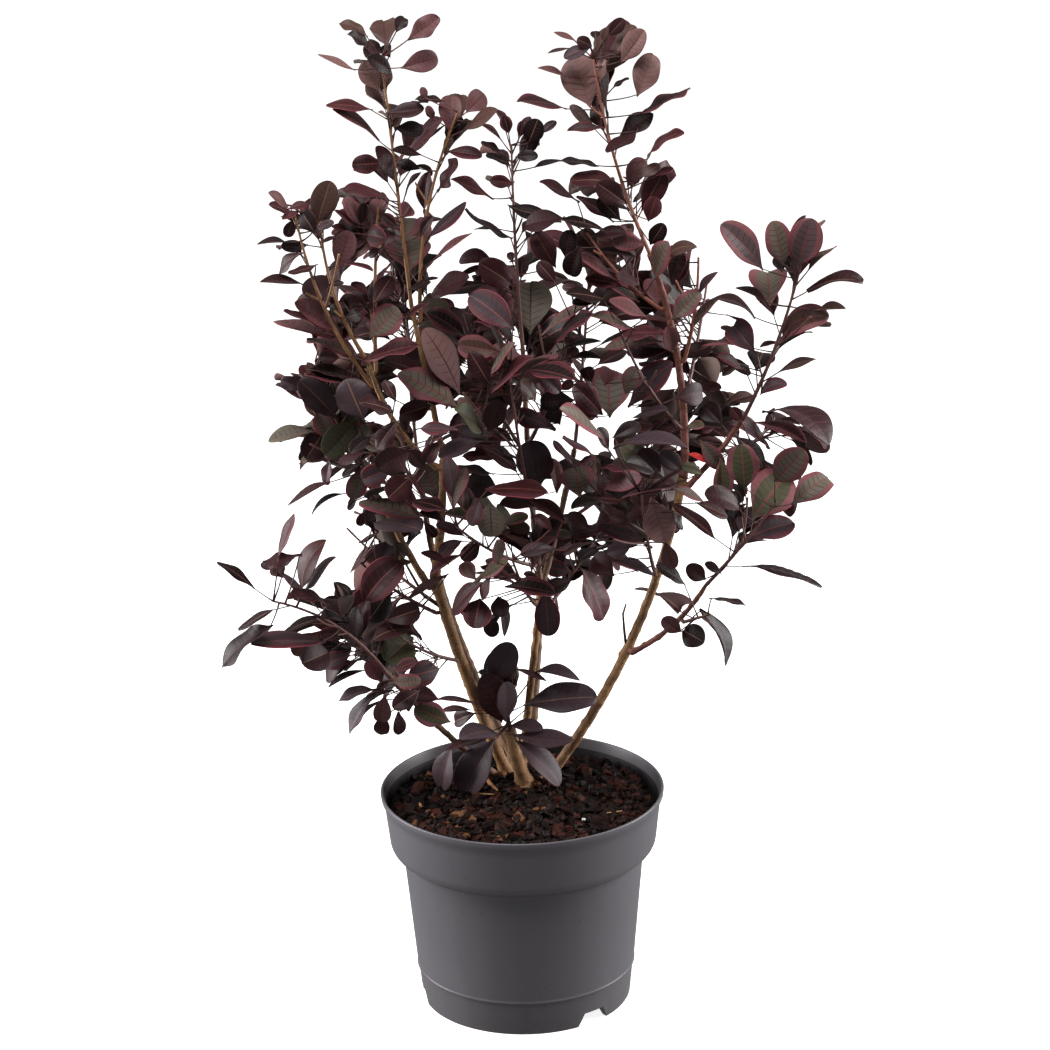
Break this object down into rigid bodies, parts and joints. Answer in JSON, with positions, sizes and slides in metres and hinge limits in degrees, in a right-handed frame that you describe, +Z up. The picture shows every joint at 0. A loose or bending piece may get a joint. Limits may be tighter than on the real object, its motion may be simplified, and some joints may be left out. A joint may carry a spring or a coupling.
{
  "type": "potted purple smoke bush",
  "caption": "Young purple-leaved smoke bush with slender forked stems and loose masses of rounded leaves, growing in a round plastic nursery pot filled with bark soil.",
  "frame": {"origin": "middle of the pot's flat underside, on the ground it stands on", "axes": "+Z up the plant, -Y towards the viewer of the picture, +X to the picture's right"},
  "size_m": [0.5485, 0.4457, 0.9187],
  "materials": {
    "pot_plastic": "satin moulded grey plastic with a faint purple cast",
    "soil": "loose dark composted bark chips",
    "bark": "smooth orange-brown young bark with darker nodes",
    "leaf": "satin dark purple leaves with a bluish bloom, pink margins and midribs"
  },
  "bodies": {
    "root": {"pot": "pot_plastic", "soil": "soil", "stub_stem": "bark", "right_stem": "bark", "right_leader": "bark", "right_bough": "bark", "right_low_bough": "bark", "left_stem": "bark", "left_bough": "bark", "left_crook": "bark", "left_leader": "bark", "left_front_bough": "bark", "middle_stem": "bark", "middle_leader": "bark", "low_left_stem": "bark", "back_left_stem": "bark", "back_right_stem": "bark", "back_left_bough": "bark", "back_right_bough": "bark", "left_spire": "leaf", "left_spire_side": "leaf", "left_curved_shoot": "leaf", "left_upright_shoot": "leaf", "left_outer_shoot": "leaf", "middle_spire": "leaf", "right_spire": "leaf", "right_spire_outer": "leaf", "right_spire_inner": "leaf", "right_tip": "leaf", "right_side": "leaf", "right_low_tip": "leaf", "right_foot": "leaf", "right_inner": "leaf", "right_underside": "leaf", "middle_right": "leaf", "middle_left": "leaf", "front_upper": "leaf", "front_low": "leaf", "front_middle": "leaf", "front_right": "leaf", "front_left": "leaf", "left_side": "leaf", "left_upper": "leaf", "left_low": "leaf", "left_foot": "leaf", "low_left_inner": "leaf", "low_left_outer": "leaf", "low_left_tip": "leaf", "stub_rosette": "leaf", "left_back": "leaf", "right_back": "leaf", "middle_back": "leaf", "back_left_top": "leaf", "back_left_side": "leaf", "back_left_low": "leaf", "back_right_top": "leaf", "back_right_side": "leaf", "back_right_low": "leaf"}
  },
  "joints": []
}
